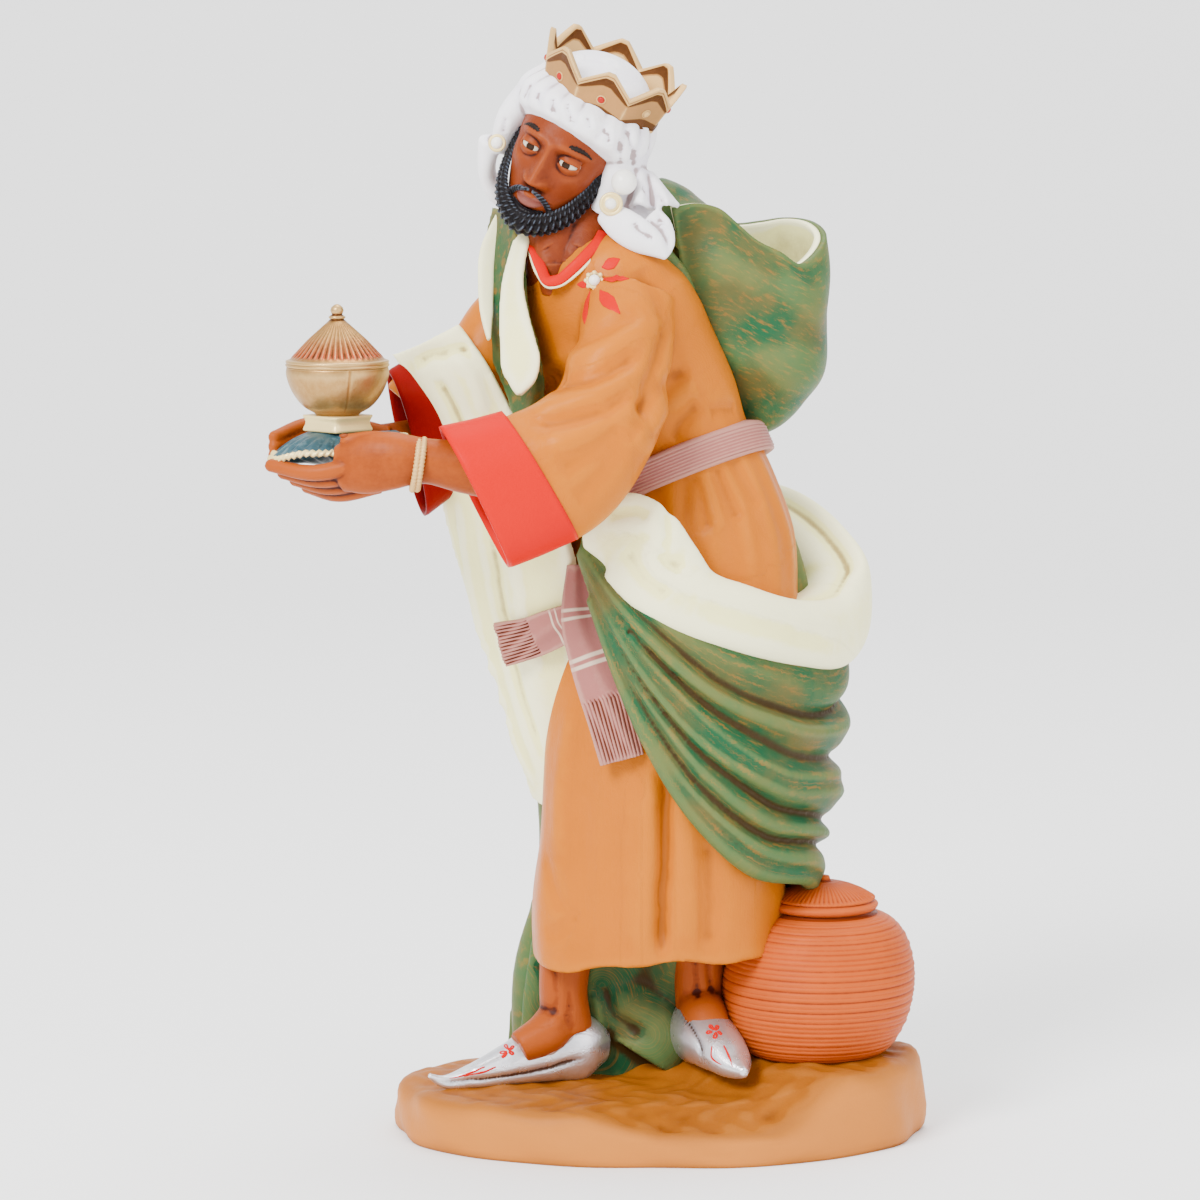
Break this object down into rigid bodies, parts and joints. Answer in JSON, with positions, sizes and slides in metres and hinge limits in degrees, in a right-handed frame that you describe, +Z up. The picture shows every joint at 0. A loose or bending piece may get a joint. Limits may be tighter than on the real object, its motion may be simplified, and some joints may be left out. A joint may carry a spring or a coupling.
{
  "type": "nativity wise man figurine",
  "caption": "Painted hollow-cast nativity figurine: a bearded king bows with a covered incense vessel on a cushion, cloak blowing, beside a lidded clay pot.",
  "frame": {"origin": "centre of the flat underside of the earth base", "axes": "+Z up; the display side faces -Y; the figure strides towards -X and the clay pot stands at +X"},
  "size_m": [0.178, 0.1062, 0.3005],
  "materials": {
    "robe_ochre": "ochre paint with a brown antique wash in the folds, satin varnish",
    "cloak_green": "streaky green dry-brushed over tan, dark in the folds",
    "lining_cream": "pale cream paint with brown wash in the folds",
    "cuff_red": "bright red satin paint",
    "sash_mauve": "pink-mauve paint with cream stripes",
    "turban_white": "white paint with lavender and brown wash",
    "skin": "warm red-brown paint, satin",
    "beard": "black paint with grey-blue dry-brushed locks",
    "gold": "gold bronze paint with brown wash",
    "silver": "silver bronze paint",
    "cushion_teal": "teal paint dry-brushed with white",
    "terracotta": "matt terracotta paint over fine turned grooves",
    "earth": "ochre-brown earth, paler on the sides"
  },
  "bodies": {
    "root": {"figure": "robe_ochre", "crown": "gold", "incense_vessel": "gold"}
  },
  "joints": []
}
